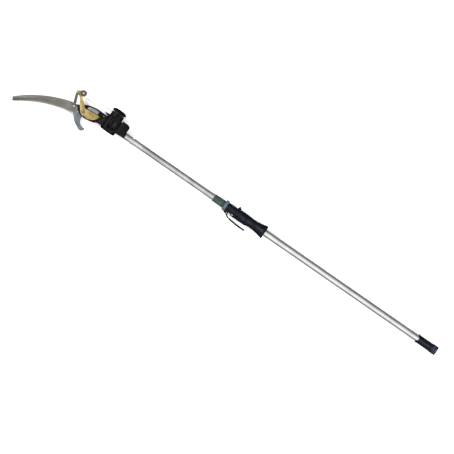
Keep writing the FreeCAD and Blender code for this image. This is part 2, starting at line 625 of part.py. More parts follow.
def lock_lever():
    """Pressed steel lever: an eye on the pin, a tail under the shoe and a long curved arm."""
    arm = outline(
        (648.0, -29.0), ((655.4, -36.0), (671, -41.3)), ((704, -45.7), (756, -46.4)),
        ((757.2, -45.0), (756, -43.6)), ((704, -42.3), (671.6, -37.7)), ((660.6, -32.5), (654.8, -24.5)))
    solid = plate(arm, -LEVER_HALF + 2, LEVER_HALF - 2)
    eye = along_z(-LEVER_HALF + 2, LEVER_HALF - 2, 5.0, LEVER_PIN.x, LEVER_PIN.y)
    tail = plate(outline((650, -22), (637.6, -21.2), (637.6, -19.5), (646, -19.5), (650, -20)), -4.5, 4.5)
    solid = solid.fuse([eye, tail]).removeSplitter()
    return solid.cut(along_z(-20, 20, LEVER_PIN_R + RUN_GAP, LEVER_PIN.x, LEVER_PIN.y))


def lever_sleeve():
    """Dipped coating over the lever's free end."""
    outer = outline(
        (676, -43.4), ((706, -47.0), (757, -48.2)), ((760.2, -45.0), (757, -41.8)),
        ((706, -40.8), (676, -37.4)))
    solid = plate(outer, -LEVER_HALF, LEVER_HALF)
    solid = soften(solid, 1.6, lambda e: abs(abs(e.CenterOfMass.z) - LEVER_HALF) < 0.1)
    return solid


def brake_shoe():
    shoe = block(SHOE_X0, SHOE_X1, -19.1, -10, -5.4, 5.4)
    return shoe.cut(along_x(SHOE_X0 - 1, SHOE_X1 + 1, INNER_OD / 2 + FREE_GAP))


def lever_spring():
    """Torsion coil round the lever's pin, drawn as its outer shape."""
    coil = along_z(LEVER_HALF - 1.8, LEVER_HALF + 0.2, 4.4, LEVER_PIN.x, LEVER_PIN.y)
    return coil.cut(along_z(0, 20, 2.9, LEVER_PIN.x, LEVER_PIN.y))


# ---- end handle -------------------------------------------------------------------------------
def tube_end_bush():
    bore = OUTER_OD / 2 - OUTER_WALL
    ring = along_x(OUTER_END, OUTER_END + 3, OUTER_OD / 2 - 0.3)
    plug = along_x(OUTER_END - 18, OUTER_END, bore)
    return ring.fuse(plug).cut(along_x(OUTER_END - 20, OUTER_END + 5, 2.6)).removeSplitter()


def pull_handle():
    """Grip with a cupped mouth; its tail carries the end cap and hides the rope's knot."""
    profile = [(HANDLE_X0, HANDLE_RIM_R - 1.5), (HANDLE_X0 + 2, HANDLE_RIM_R),
               (HANDLE_X0 + 8, HANDLE_RIM_R - 0.6), (HANDLE_X0 + 16, HANDLE_R), (HANDLE_X1 - 8, HANDLE_R), (HANDLE_X1, HANDLE_R + 1.2),
               (HANDLE_X1, TAIL_R), (TAIL_X1, TAIL_R)]
    body = turned_x(profile)
    body = body.cut(along_x(HANDLE_X0 - 1, OUTER_END + 3.5, OUTER_OD / 2 + FREE_GAP))
    body = body.cut(along_x(HANDLE_X0, TAIL_X1, 2.2))
    body = body.cut(along_x(HANDLE_X1 - 1, TAIL_X1 + 1, 8.0))
    for screw in cap_screws().Solids:
        body = body.cut(screw)
    return body.cut(Part.makeCylinder(26.0, 80, V(HANDLE_X0 - 12.0, 0, -40), V(0, 0, 1)))


def end_cap():
    """Eight-sided cap with a cross hole to hang the saw by."""
    points = [V(HANDLE_X1, CAP_R * math.cos(math.radians(45 * i + 22.5)),
                CAP_R * math.sin(math.radians(45 * i + 22.5))) for i in range(9)]
    prism = Part.Face(Part.makePolygon(points)).extrude(V(END_X - HANDLE_X1, 0, 0))
    turned = turned_x([(HANDLE_X1, CAP_R - 1), (HANDLE_X1 + 3, CAP_R + 1), (END_X - 5.5, CAP_R + 1),
                       (END_X, CAP_R - 3.5)])
    solid = prism.common(turned)
    solid = solid.cut(along_x(HANDLE_X1 - 1, TAIL_X1 + 0.3, TAIL_R))
    for screw in cap_screws().Solids:
        solid = solid.cut(screw)
    return solid.cut(along_y(-40, 40, HANG_R, HANG_X))


def rope_knot():
    """Stopper on the rope's end: a ball with the rope's bore through it."""
    ball = Part.makeSphere(4.6, V(HANDLE_X1 + 4.2, 0, 0))
    return ball.cut(along_x(HANDLE_X1 - 2, ROPE_END_X, ROPE_D / 2))


def cap_screws():
    """Two countersunk screws through the cap's side into the handle's tail."""
    screws = []
    for way in (1, -1):
        shank = rod(V(HANDLE_X1 + 5.0, 0, way * 12.0), V(0, 0, way), 1.5, 7.0)
        head = rod(V(HANDLE_X1 + 5.0, 0, way * 18.5), V(0, 0, way), 3.0, 2.4)
        screws.append(shank.fuse(head).removeSplitter())
    return Part.makeCompound(screws)


# ---- assembly ---------------------------------------------------------------------------------
def build():
    front, back, label = head_shells()
    live, dead, wrap, lower, upper, tubes = ropes()
    hook_back = SPLIT_Z - SAW_T - HOOK_T
    roller_low = V(ROLLER_PITCH_R, ROLLER_PITCH_R, 0)
    roller_high = V(-ROLLER_PITCH_R, ROPE_EXIT_Y - ROLLER_PITCH_R, 0)
    pieces["saw_blade"] = saw_blade()
    pieces["saw_bolts"] = saw_bolts()
    pieces["hook_jaw"] = hook_jaw()
    pieces["head_shell_front"] = front
    pieces["head_shell_back"] = back
    pieces["shell_screws"] = shell_screws()
    pieces["label_plate"] = label
    pieces["pivot_bolt"] = pivot_bolt()
    pieces["pivot_nut"] = pivot_nut()
    pieces["cutter_lever"] = cutter_lever()
    pieces["sheave_axle"] = stud_with_head(SHEAVE, POST_R, -1.6, SHEAVE_Z0 + SHEAVE_W + 0.3, 5.0, 2.0)
    pieces["lever_sheave"] = rope_wheel(SHEAVE, SHEAVE_Z0, SHEAVE_W, SHEAVE_RIM_R, SHEAVE_PITCH_R,
                                        POST_R + RUN_GAP)
    pieces["spring_pin"] = stud_with_head(SPRING_TOP, 2.5, -1.6, SPRING_Z + 1.4, 4.2, 1.8)
    pieces["spring_post"] = stud_with_head(SPRING_FOOT, POST_R, hook_back, SPRING_Z + 1.4, 4.6, 1.8)
    pieces["return_spring"] = return_spring()
    pieces["rope_live"] = live
    pieces["rope_dead"] = dead
    pieces["rope_wrap"] = wrap
    pieces["rope_lower_bend"] = lower
    pieces["rope_upper_bend"] = upper
    pieces["rope_in_tubes"] = tubes
    pieces["rope_ferrule"] = along_x(ROPE_FERRULE.x, ROPE_FERRULE.x + 6.0, 3.0, ROPE_FERRULE.y,
                                     SHEAVE_Z0 + SHEAVE_W / 2)
    pieces["turret_roller"] = rope_wheel(roller_high, -ROLLER_W / 2, ROLLER_W, ROLLER_RIM_R,
                                         ROLLER_PITCH_R, ROLLER_PIN_R + RUN_GAP)
    pieces["turret_pin"] = roller_pin(roller_high.x, roller_high.y, 25.0)
    pieces["clamp_tube"] = clamp_tube()
    pieces["clamp_washer"] = along_y(TURRET_TOP, TURRET_TOP + 1.0, 22.0).cut(along_y(60, 70, CLAMP_R))
    pieces["tilt_knob"] = tilt_knob()
    pieces["knob_insert"] = knob_insert()
    pieces["socket"] = socket()
    pieces["pivot_plug"] = pivot_plug()
    pieces["lower_pivot"] = lower_pivot()
    pieces["socket_roller"] = rope_wheel(roller_low, -ROLLER_W / 2, ROLLER_W, ROLLER_RIM_R,
                                         ROLLER_PITCH_R, ROLLER_PIN_R + RUN_GAP)
    pieces["socket_pin"] = roller_pin(roller_low.x, roller_low.y, 12.0)
    pieces["inner_tube"] = inner_tube()
    pieces["cross_bolt"] = cross_bolt()
    pieces["cross_nut"] = cross_nut()
    pieces["inner_bush"] = inner_bush()
    pieces["outer_tube"] = outer_tube()
    pieces["collar"] = collar()
    pieces["flange_ring"] = flange_ring()
    pieces["lock_body"] = lock_body()
    pieces["grip_sleeve"] = grip_sleeve()
    pieces["lever_pin"] = along_z(-11.8, 11.8, LEVER_PIN_R, LEVER_PIN.x, LEVER_PIN.y)
    pieces["lock_lever"] = lock_lever()
    pieces["lever_sleeve"] = lever_sleeve().cut(pieces["lock_lever"])
    pieces["brake_shoe"] = brake_shoe()
    pieces["lever_spring"] = lever_spring()
    pieces["tube_end_bush"] = tube_end_bush()
    pieces["pull_handle"] = pull_handle()
    pieces["end_cap"] = end_cap()
    pieces["cap_screws"] = cap_screws()
    pieces["rope_knot"] = rope_knot()


build()
shift = V(-(TIP_X + END_X) / 2, -(TIP_Y + KNOB_TOP_Y) / 2, AXIS_HEIGHT)
os.makedirs("parts", exist_ok=True)
for name, shape in sorted(pieces.items()):
    shape.translate(shift)
    if not shape.isValid():
        print("invalid", name)
    if len(shape.Solids) != 1:
        print("solids", name, len(shape.Solids))
    shape.exportStep("parts/" + name + ".step")
whole = Part.makeCompound(list(pieces.values())).BoundBox
corners = (whole.XMin, whole.XMax, whole.YMin, whole.YMax, whole.ZMin, whole.ZMax)
print("box", [round(v, 2) for v in corners])
print("pieces", len(pieces))
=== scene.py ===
import bpy
import json
import math
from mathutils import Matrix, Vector


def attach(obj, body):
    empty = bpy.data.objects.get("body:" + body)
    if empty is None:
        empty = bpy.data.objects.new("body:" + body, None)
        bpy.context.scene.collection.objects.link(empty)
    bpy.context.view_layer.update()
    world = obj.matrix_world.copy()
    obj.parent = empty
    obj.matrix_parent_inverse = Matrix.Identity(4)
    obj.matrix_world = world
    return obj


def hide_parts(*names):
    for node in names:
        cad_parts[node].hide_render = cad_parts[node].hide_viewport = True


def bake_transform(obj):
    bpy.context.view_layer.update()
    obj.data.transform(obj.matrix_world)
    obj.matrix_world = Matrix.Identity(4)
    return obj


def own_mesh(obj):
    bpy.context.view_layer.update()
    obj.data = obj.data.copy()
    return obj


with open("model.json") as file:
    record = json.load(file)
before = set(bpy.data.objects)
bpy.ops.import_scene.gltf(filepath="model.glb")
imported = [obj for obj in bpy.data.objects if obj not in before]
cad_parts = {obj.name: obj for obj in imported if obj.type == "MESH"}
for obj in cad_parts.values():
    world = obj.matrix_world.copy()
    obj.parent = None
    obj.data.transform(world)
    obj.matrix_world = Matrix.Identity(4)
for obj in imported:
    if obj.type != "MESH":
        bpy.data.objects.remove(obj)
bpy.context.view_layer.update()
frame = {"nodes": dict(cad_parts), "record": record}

# Telescoping pole saw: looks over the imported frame. Sizes in the dictionaries are in mm in the
# pole's own frame: x along the pole from the tilt axis, y in the plane of the blade, z square to it.
poleFrame = {"x": -670.0, "y": 37.5, "z": 32.0}
scene = bpy.context.scene


def place(x, y=0.0, z=0.0):
    return Vector(((x + poleFrame["x"]) / 1000, (y + poleFrame["y"]) / 1000, (z + poleFrame["z"]) / 1000))


def report(stage):
    print("pole saw:", stage)


# ---- camera, floor and light
studio = {
    "turn": 34.70,                 # degrees the pole leans in the frame
    "aim": (0.0182, -0.0382),      # metres, as are the next three
    "height": 12.0,
    "fieldWidth": 2.0427,
    "clipEnd": 60.0,
    "sensorWidth": 36.0,           # mm
    "floorGlow": 0.3,
    "paperDark": "#f4f4f4", "paperLight": "#fafafa",
    "floorSize": 14.0,             # metres
    "floorDrop": 0.0004,           # metres below the pole, so the two never share a face
    # sky brightness by the cosine from its brightest point: bright overhead, dim towards the horizon
    "sky": ((0.0, "#606060"), (0.2, "#7c7c7c"), (0.47, "#9a9a9a"), (0.64, "#bebebe"), (0.77, "#d0d0d0"),
            (0.9, "#f4f4f4"), (1.0, "#ffffff")),
    "skyStrength": 1.1,
    "skyTop": (0.0, -0.31, 0.95),                   # a little to the near side of straight up
    # name, place and size in metres, watts: both stand off the pole's ends, so they miss its sides
    "panels": (
        ("softboxHead", (-5.0, 0.3, 4.2), (2.2, 3.0), 330.0),
        ("softboxTail", (5.0, -0.3, 4.2), (2.2, 3.0), 330.0),
    ),
}


def setCamera():
    camera = bpy.data.objects.new("camera", bpy.data.cameras.new("camera"))
    scene.collection.objects.link(camera)
    camera.location = (studio["aim"][0], studio["aim"][1], studio["height"])
    camera.rotation_euler = (0, 0, math.radians(studio["turn"]))
    camera.data.sensor_width = studio["sensorWidth"]
    camera.data.lens = studio["sensorWidth"] * studio["height"] / studio["fieldWidth"]
    camera.data.clip_end = studio["clipEnd"]
    scene.camera = camera


def hexColour(text):
    channels = [int(text[i:i + 2], 16) / 255 for i in (1, 3, 5)]
    linear = [c / 12.92 if c <= 0.04045 else ((c + 0.055) / 1.055) ** 2.4 for c in channels]
    return (*linear, 1.0)


def addNode(tree, kind, links=None, stops=None, **settings):
    node = tree.nodes.new("ShaderNode" + kind)
    for key, value in settings.items():
        setattr(node, key, value)
    for socket, value in (links or {}).items():
        if isinstance(value, bpy.types.NodeSocket):
            tree.links.new(value, node.inputs[socket])
        else:
            node.inputs[socket].default_value = value
    if stops:
        ramp = node.color_ramp.elements
        while len(ramp) < len(stops):
            ramp.new(0.5)
        for element, (position, colour) in zip(ramp, stops):
            element.position = position
            element.color = hexColour(colour)
    return node


def newMaterial(name, **sockets):
    material = bpy.data.materials.new(name)
    material.use_nodes = True
    tree = material.node_tree
    shader = tree.nodes["Principled BSDF"]
    for socket, value in sockets.items():
        shader.inputs[socket.replace("_", " ")].default_value = value
    where = addNode(tree, "TexCoord").outputs["Object"]
    return material, tree, shader, where


def perMm(size):
    return 1000.0 / size           # texture scale for a feature of that size


# ---- finishes
def mouldedPlastic(name, look):
    # Injection-moulded nylon and ABS: spark-eroded grain, cloudy flow marks and uneven gloss.
    material, tree, shader, where = newMaterial(
        name, Roughness=look["rough"], IOR=1.5, Specular_IOR_Level=look.get("shine", 0.25),
        Coat_Weight=look.get("coat", 0.0), Coat_Roughness=0.25)
    clouds = addNode(tree, "TexNoise", {"Vector": where, "Scale": perMm(look["cloud"]), "Detail": 4.0})
    tint = addNode(tree, "ValToRGB", {"Fac": clouds.outputs["Fac"]},
                   stops=[(0.32, look["dark"]), (0.5, look["mid"]), (0.7, look["light"])])
    grain = addNode(tree, "TexVoronoi", {"Vector": where, "Scale": perMm(look["grain"])})
    worn = addNode(tree, "MapRange", {"Value": clouds.outputs["Fac"], "From Min": 0.3, "From Max": 0.7,
                                      "To Min": look["rough"] - 0.08, "To Max": look["rough"] + 0.1})
    bump = addNode(tree, "Bump", {"Height": grain.outputs["Distance"], "Strength": look["depth"],
                                  "Distance": look["grain"] / 1000 * 0.15})
    tree.links.new(tint.outputs["Color"], shader.inputs["Base Color"])
    tree.links.new(worn.outputs["Result"], shader.inputs["Roughness"])
    tree.links.new(bump.outputs["Normal"], shader.inputs["Normal"])
    return material


def workedMetal(name, look):
    # Rolled, ground or drawn metal: hair lines one way, larger stains, and a rougher bloom.
    material, tree, shader, where = newMaterial(
        name, Metallic=look.get("metallic", 1.0), Roughness=look["rough"])
    turned = addNode(tree, "Mapping", {"Vector": where, "Rotation": (0, 0, math.radians(look["lay"]))})
    lines = addNode(tree, "Mapping", {"Vector": turned.outputs["Vector"], "Scale": look["stretch"]})
    hair = addNode(tree, "TexNoise", {"Vector": lines.outputs["Vector"], "Scale": perMm(look["line"]),
                                      "Detail": 6.0, "Roughness": 0.65})
    stain = addNode(tree, "TexNoise", {"Vector": where, "Scale": perMm(look["stain"]), "Detail": 3.0})
    both = addNode(tree, "Math", {0: hair.outputs["Fac"], 1: stain.outputs["Fac"]}, operation="ADD")
    half = addNode(tree, "Math", {0: both.outputs["Value"], 1: 0.5}, operation="MULTIPLY")
    tint = addNode(tree, "ValToRGB", {"Fac": half.outputs["Value"]},
                   stops=[(0.36, look["dark"]), (0.5, look["mid"]), (0.64, look["light"])])
    bloom = addNode(tree, "MapRange", {"Value": stain.outputs["Fac"], "From Min": 0.3, "From Max": 0.7,
                                       "To Min": look["rough"] - 0.06, "To Max": look["rough"] + 0.08})
    bump = addNode(tree, "Bump", {"Height": hair.outputs["Fac"], "Strength": look["depth"],
                                  "Distance": 0.00008})
    tree.links.new(tint.outputs["Color"], shader.inputs["Base Color"])
    tree.links.new(bloom.outputs["Result"], shader.inputs["Roughness"])
    tree.links.new(bump.outputs["Normal"], shader.inputs["Normal"])
    return material


def groundBlade(name, look):
    # A brushed blade with a ground band along the arc of its cutting edge, darker towards the tip.
    material = workedMetal(name, look)
    tree = material.node_tree
    shader = tree.nodes["Principled BSDF"]
    where = addNode(tree, "TexCoord").outputs["Object"]
    flat = addNode(tree, "VectorMath", {0: where, 1: (1, 1, 0)}, operation="MULTIPLY")
    reach = addNode(tree, "VectorMath", {0: flat.outputs["Vector"], 1: (*look["arcCentre"], 0)},
                    operation="DISTANCE")
    band = addNode(tree, "MapRange", {"Value": reach.outputs["Value"], "From Min": look["bandFrom"],
                                      "From Max": look["bandTo"], "To Min": 0.0, "To Max": 1.0})
    brushed = shader.inputs["Base Color"].links[0].from_socket
    blend = addNode(tree, "Mix", {0: band.outputs["Result"], 6: brushed, 7: hexColour(look["ground"])},
                    data_type="RGBA")
    along = addNode(tree, "SeparateXYZ", {"Vector": where}).outputs["X"]
    tip = addNode(tree, "MapRange", {"Value": along, "From Min": look["tipFrom"], "From Max": look["tipTo"],
                                     "To Min": look["tipShare"], "To Max": 0.0})
    shaded = addNode(tree, "Mix", {0: tip.outputs["Result"], 6: blend.outputs[2],
                                   7: hexColour(look["tip"])}, data_type="RGBA")
    tree.links.new(shaded.outputs[2], shader.inputs["Base Color"])
    return material


def laidRope(name, look):
    # Twisted polyester: fine bright filaments, a little grey dust, soft sheen.
    material, tree, shader, where = newMaterial(name, Roughness=0.8, Sheen_Weight=0.4, Sheen_Roughness=0.5)
    thread = addNode(tree, "TexNoise", {"Vector": where, "Scale": perMm(look["thread"]), "Detail": 3.0})
    dust = addNode(tree, "TexNoise", {"Vector": where, "Scale": perMm(look["dust"]), "Detail": 2.0})
    both = addNode(tree, "Math", {0: thread.outputs["Fac"], 1: dust.outputs["Fac"]}, operation="ADD")
    half = addNode(tree, "Math", {0: both.outputs["Value"], 1: 0.5}, operation="MULTIPLY")
    tint = addNode(tree, "ValToRGB", {"Fac": half.outputs["Value"]},
                   stops=[(0.38, look["dark"]), (0.5, look["mid"]), (0.6, look["light"])])
    bump = addNode(tree, "Bump", {"Height": thread.outputs["Fac"], "Strength": 0.5, "Distance": 0.0001})
    tree.links.new(tint.outputs["Color"], shader.inputs["Base Color"])
    tree.links.new(bump.outputs["Normal"], shader.inputs["Normal"])
    return material


def paperFloor(name):
    # Matt studio paper with barely visible fibres, lit a little from below, as on a light table.
    material, tree, shader, where = newMaterial(name, Roughness=0.9, Emission_Strength=studio["floorGlow"])
    fibre = addNode(tree, "TexNoise", {"Vector": where, "Scale": perMm(40.0), "Detail": 5.0})
    tint = addNode(tree, "ValToRGB", {"Fac": fibre.outputs["Fac"]},
                   stops=[(0.3, studio["paperDark"]), (0.7, studio["paperLight"])])
    tree.links.new(tint.outputs["Color"], shader.inputs["Base Color"])
    tree.links.new(tint.outputs["Color"], shader.inputs["Emission Color"])
    return material


plasticLooks = {
    # mould grain is really about 0.3 mm; it is drawn at 1 mm so that it shows
    "mouldedNylonBlack": {"dark": "#020203", "mid": "#070708", "light": "#121213", "rough": 0.38,
                          "cloud": 18.0, "grain": 1.0, "depth": 0.35, "shine": 0.1},
    "lockNylonNavy": {"dark": "#06080d", "mid": "#0d1018", "light": "#1c2030", "rough": 0.36,
                      "cloud": 9.0, "grain": 0.9, "depth": 0.35, "shine": 0.2},
    "knobNylonBlack": {"dark": "#020202", "mid": "#040404", "light": "#0c0c0d", "rough": 0.4,
                       "cloud": 14.0, "grain": 0.8, "depth": 0.3, "shine": 0.08},
    "softGripRubber": {"dark": "#06080f", "mid": "#0b0d17", "light": "#151826", "rough": 0.3,
                       "cloud": 16.0, "grain": 0.9, "depth": 0.35, "shine": 0.2},
    "sheaveNylon": {"dark": "#2e2824", "mid": "#463d37", "light": "#6a5f57", "rough": 0.4,
                    "cloud": 5.0, "grain": 0.6, "depth": 0.25},
    "collarAbsTeal": {"dark": "#2f3b38", "mid": "#374744", "light": "#41524f", "rough": 0.34,
                      "cloud": 12.0, "grain": 0.8, "depth": 0.2, "coat": 0.1},
    "flangeAbsSlate": {"dark": "#434f56", "mid": "#4d5a62", "light": "#5b686f", "rough": 0.32,
                       "cloud": 10.0, "grain": 0.8, "depth": 0.2, "coat": 0.1},
    "capAbsSlate": {"dark": "#0d1317", "mid": "#1b252b", "light": "#35434b", "rough": 0.22,
                    "cloud": 9.0, "grain": 0.8, "depth": 0.15, "coat": 0.1},
    "leverPowderCoat": {"dark": "#060607", "mid": "#0d0d0e", "light": "#1b1b1c", "rough": 0.4,
                        "cloud": 9.0, "grain": 1.4, "depth": 0.3, "coat": 0.05, "shine": 0.2},
    "dippedVinyl": {"dark": "#050505", "mid": "#0a0a0b", "light": "#141415", "rough": 0.34,
                    "cloud": 14.0, "grain": 2.5, "depth": 0.15, "coat": 0.1, "shine": 0.2},
    "brakeLeather": {"dark": "#2b201a", "mid": "#43332a", "light": "#5f4a3d", "rough": 0.7,
                     "cloud": 3.0, "grain": 0.7, "depth": 0.6},
}

metalLooks = {
    # grinding lines are about 0.1 mm; they are drawn wider and stretched along the work so that they show
    "hookSteelPhosphated": {"dark": "#4f535b", "mid": "#686c75", "light": "#80848c", "rough": 0.5,
                            "lay": 50, "stretch": (0.2, 1, 1), "line": 1.2, "stain": 22.0,
                            "depth": 0.3, "metallic": 0.7},
    "zincPlatedSteel": {"dark": "#8d9094", "mid": "#b4b6b8", "light": "#d8d6cc", "rough": 0.3, "lay": 0,
                        "stretch": (1, 1, 1), "line": 0.8, "stain": 3.0, "depth": 0.2},
    "boltSteelBlackened": {"dark": "#4a443c", "mid": "#8a8272", "light": "#d8cfb8", "rough": 0.22,
                           "lay": 20, "stretch": (1, 1, 1), "line": 2.5, "stain": 6.0, "depth": 0.2},
    "cutterSteelGoldCoated": {"dark": "#80693a", "mid": "#a08c57", "light": "#bcaa76", "rough": 0.42,
                              "lay": 30, "stretch": (0.3, 1, 1), "line": 3.0, "stain": 20.0,
                              "depth": 0.25, "metallic": 0.5},
    "labelFoilBrushed": {"dark": "#5e6063", "mid": "#828487", "light": "#a3a5a7", "rough": 0.4, "lay": 0,
                         "stretch": (0.05, 1, 1), "line": 0.5, "stain": 5.0, "depth": 0.2,
                         "metallic": 0.5},
    "springWireOiled": {"dark": "#4b4943", "mid": "#6a6860", "light": "#8d8b82", "rough": 0.36, "lay": 0,
                        "stretch": (1, 1, 1), "line": 0.5, "stain": 4.0, "depth": 0.2,
                        "metallic": 0.8},
    "drawnTubeAnodised": {"dark": "#dcdddd", "mid": "#eeefef", "light": "#fafafa", "rough": 0.2, "lay": 0,
                          "stretch": (0.01, 1, 1), "line": 0.9, "stain": 60.0, "depth": 0.12,
                          "metallic": 0.95},
    "satinTubeAnodised": {"dark": "#adadac", "mid": "#cbcbca", "light": "#efefee", "rough": 0.26, "lay": 0,
                          "stretch": (0.004, 1, 1), "line": 5.0, "stain": 70.0, "depth": 0.5,
                          "metallic": 0.9},
    "turnedBrass": {"dark": "#9a7838", "mid": "#b8924a", "light": "#d2b06a", "rough": 0.28, "lay": 0,
                    "stretch": (1, 0.05, 1), "line": 0.6, "stain": 4.0, "depth": 0.2},
}

sawLook = {
    "dark": "#5c5a54", "mid": "#6e6c66", "light": "#807e77", "rough": 0.42, "lay": 24,
    "stretch": (0.03, 1, 1), "line": 1.1, "stain": 60.0, "depth": 0.25, "metallic": 0.6,
    "ground": "#7b7972", "tip": "#24221f", "tipShare": 0.75,
}
ropeLook = {"dark": "#8f908c", "mid": "#b4b5b1", "light": "#d6d7d2", "thread": 0.5, "dust": 7.0}


# ---- modelling helpers
def clearSelection():
    if bpy.context.object and bpy.context.object.mode == "EDIT":
        bpy.ops.object.mode_set(mode="OBJECT")
    bpy.ops.object.select_all(action="DESELECT")


def pickOnly(piece):
    clearSelection()
    piece.select_set(True)
    bpy.context.view_layer.objects.active = piece


def applyModifiers(piece):
    pickOnly(piece)
    for modifier in list(piece.modifiers):
        bpy.ops.object.modifier_apply(modifier=modifier.name)


def settle(piece, name, angle=35):
    # The place goes into the mesh, the normals outwards, and edges sharper than the angle stay crisp.
    pickOnly(piece)
    bpy.ops.object.transform_apply(location=True, rotation=True, scale=True)
    bpy.ops.object.mode_set(mode="EDIT")
    bpy.ops.mesh.select_all(action="SELECT")
    bpy.ops.mesh.remove_doubles(threshold=1e-6)
    bpy.ops.mesh.normals_make_consistent(inside=False)
    bpy.ops.object.mode_set(mode="OBJECT")
    bpy.ops.object.shade_smooth_by_angle(angle=math.radians(angle))
    piece.name = name
    piece.data.name = name


def finishPiece(piece, material, body, nodes):
    piece.data.materials.clear()
    piece.data.materials.append(material)
    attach(piece, body)
    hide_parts(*nodes)


def ringStack(name, rings, sides):
    # A ring is extruded and resized from station to station: (x, y, half height, half depth).
    clearSelection()
    x, y, high, deep = rings[0]
    bpy.ops.mesh.primitive_circle_add(vertices=sides, radius=0.001, location=place(x, y),
                                      rotation=(0, math.radians(90), 0))
    piece = bpy.context.object
    bpy.ops.object.transform_apply(location=True, rotation=True, scale=True)
    bpy.ops.object.mode_set(mode="EDIT")
    bpy.ops.mesh.select_all(action="SELECT")
    bpy.ops.transform.resize(value=(1, high, deep), center_override=place(x, y))
    for nextX, nextY, nextHigh, nextDeep in rings[1:]:
        step = Vector((nextX - x, nextY - y, 0)) / 1000
        bpy.ops.mesh.extrude_region_move(TRANSFORM_OT_translate={"value": step})
        bpy.ops.transform.resize(value=(1, nextHigh / high, nextDeep / deep),
                                 center_override=place(nextX, nextY))
        x, y, high, deep = nextX, nextY, nextHigh, nextDeep
    bpy.ops.object.mode_set(mode="OBJECT")
    settle(piece, name)
    return piece


# angles in degrees: what counts as flat, as an edge to round, and as a crease in the shading
edgeWork = {"segments": 2, "flat": 0.6, "edge": 38, "crease": 32}


def softenedCopy(node, name, width, coat):
    # The CAD shape with its sharp edges broken, as a mould or a grinding wheel leaves them,
    # and with a coat on top where it is dipped or painted thickly.
    clearSelection()
    source = frame["nodes"][node]
    piece = source.copy()
    piece.data = source.data.copy()
    piece.parent = None
    for key in list(piece.keys()):
        del piece[key]
    scene.collection.objects.link(piece)
    piece.hide_render = False
    pickOnly(piece)
    bpy.ops.object.mode_set(mode="EDIT")
    bpy.ops.mesh.select_all(action="SELECT")
    bpy.ops.mesh.remove_doubles(threshold=2e-6)
    bpy.ops.mesh.dissolve_limited(angle_limit=math.radians(edgeWork["flat"]))
    if coat:
        bpy.ops.transform.shrink_fatten(value=coat / 1000, use_even_offset=True)
    bpy.ops.object.mode_set(mode="OBJECT")
    edge = piece.modifiers.new("edges", "BEVEL")
    edge.width = width / 1000
    edge.segments = edgeWork["segments"]
    edge.limit_method = "ANGLE"
    edge.angle_limit = math.radians(edgeWork["edge"])
    applyModifiers(piece)
    bpy.ops.object.shade_smooth_by_angle(angle=math.radians(edgeWork["crease"]))
    piece.name = name
    piece.data.name = name
    return piece


def readLine(name, route, step):
    # The route's own NURBS line, read back as points a fixed step apart.
    line = bpy.data.curves.new(name, "CURVE")
    line.dimensions = "3D"
    spline = line.splines.new("NURBS")
    spline.points.add(len(route) - 1)
    for point, where in zip(spline.points, route):
        point.co = (*place(*where), 1)
    spline.order_u = 3
    spline.use_endpoint_u = True
    spline.resolution_u = 24
    holder = bpy.data.objects.new(name, line)
    scene.collection.objects.link(holder)
    bpy.context.view_layer.update()
    ready = holder.evaluated_get(bpy.context.evaluated_depsgraph_get())
    mesh = bpy.data.meshes.new_from_object(ready)
    raw = [vertex.co.copy() for vertex in mesh.vertices]
    bpy.data.objects.remove(holder)
    bpy.data.meshes.remove(mesh)
    points, carried = [raw[0]], 0.0
    for here, there in zip(raw, raw[1:]):
        run = (there - here).length
        while carried + run >= step:
            share = (step - carried) / run
            here = here.lerp(there, share)
            run = (there - here).length
            carried = 0.0
            points.append(here)
        carried += run
    if (points[-1] - raw[-1]).length > step * 0.3:
        points.append(raw[-1])
    return points


def layStrands(name, points, spec):
    # Strands wound round the line, each a thin tube; the sizes in spec are in mm.
    strands = bpy.data.curves.new(name, "CURVE")
    strands.dimensions = "3D"
    strands.bevel_depth = spec["strand"] / 1000
    strands.bevel_resolution = 1
    strands.use_fill_caps = True
    ahead = (points[1] - points[0]).normalized()
    side = ahead.orthogonal().normalized()
    tracks = [[] for _ in range(spec["count"])]
    travelled = 0.0
    for index, point in enumerate(points):
        if index:
            travelled += (point - points[index - 1]).length
        after = points[min(index + 1, len(points) - 1)]
        before = points[max(index - 1, 0)]
        ahead = (after - before).normalized()
        side = (side - ahead * side.dot(ahead)).normalized()
        across = ahead.cross(side)
        for number, track in enumerate(tracks):
            turn = 2 * math.pi * (travelled * 1000 / spec["lay"] + number / spec["count"])
            offset = (side * math.cos(turn) + across * math.sin(turn)) * spec["offset"] / 1000
            track.append(point + offset)
    for track in tracks:
        spline = strands.splines.new("POLY")
        spline.points.add(len(track) - 1)
        for point, where in zip(spline.points, track):
            point.co = (*where, 1)
    piece = bpy.data.objects.new(name, strands)
    scene.collection.objects.link(piece)
    pickOnly(piece)
    bpy.ops.object.convert(target="MESH")
    piece = bpy.context.object
    settle(piece, name, 60)
    return piece


report("finishes")
finish = {name: mouldedPlastic(name, look) for name, look in plasticLooks.items()}
finish.update({name: workedMetal(name, look) for name, look in metalLooks.items()})
finish["polyesterRope"] = laidRope("polyesterRope", ropeLook)

setCamera()

# ---- saw blade and jaw
sawBlade = {
    "edge": ((-428.0, -158.0), (-305.0, -85.0), (-186.0, -49.5)),   # tooth tips
    "groundBand": (4.0, 7.0),                                       # above the tooth tips
    "tipShade": (-436.0, -330.0),                                   # the tip is darker than the root
}


def centreThrough(a, b, c):
    (ax, ay), (bx, by), (cx, cy) = a, b, c
    twice = 2 * (ax * (by - cy) + bx * (cy - ay) + cx * (ay - by))
    squareA, squareB, squareC = ax * ax + ay * ay, bx * bx + by * by, cx * cx + cy * cy
    x = (squareA * (by - cy) + squareB * (cy - ay) + squareC * (ay - by)) / twice
    y = (squareA * (cx - bx) + squareB * (ax - cx) + squareC * (bx - ax)) / twice
    return x, y


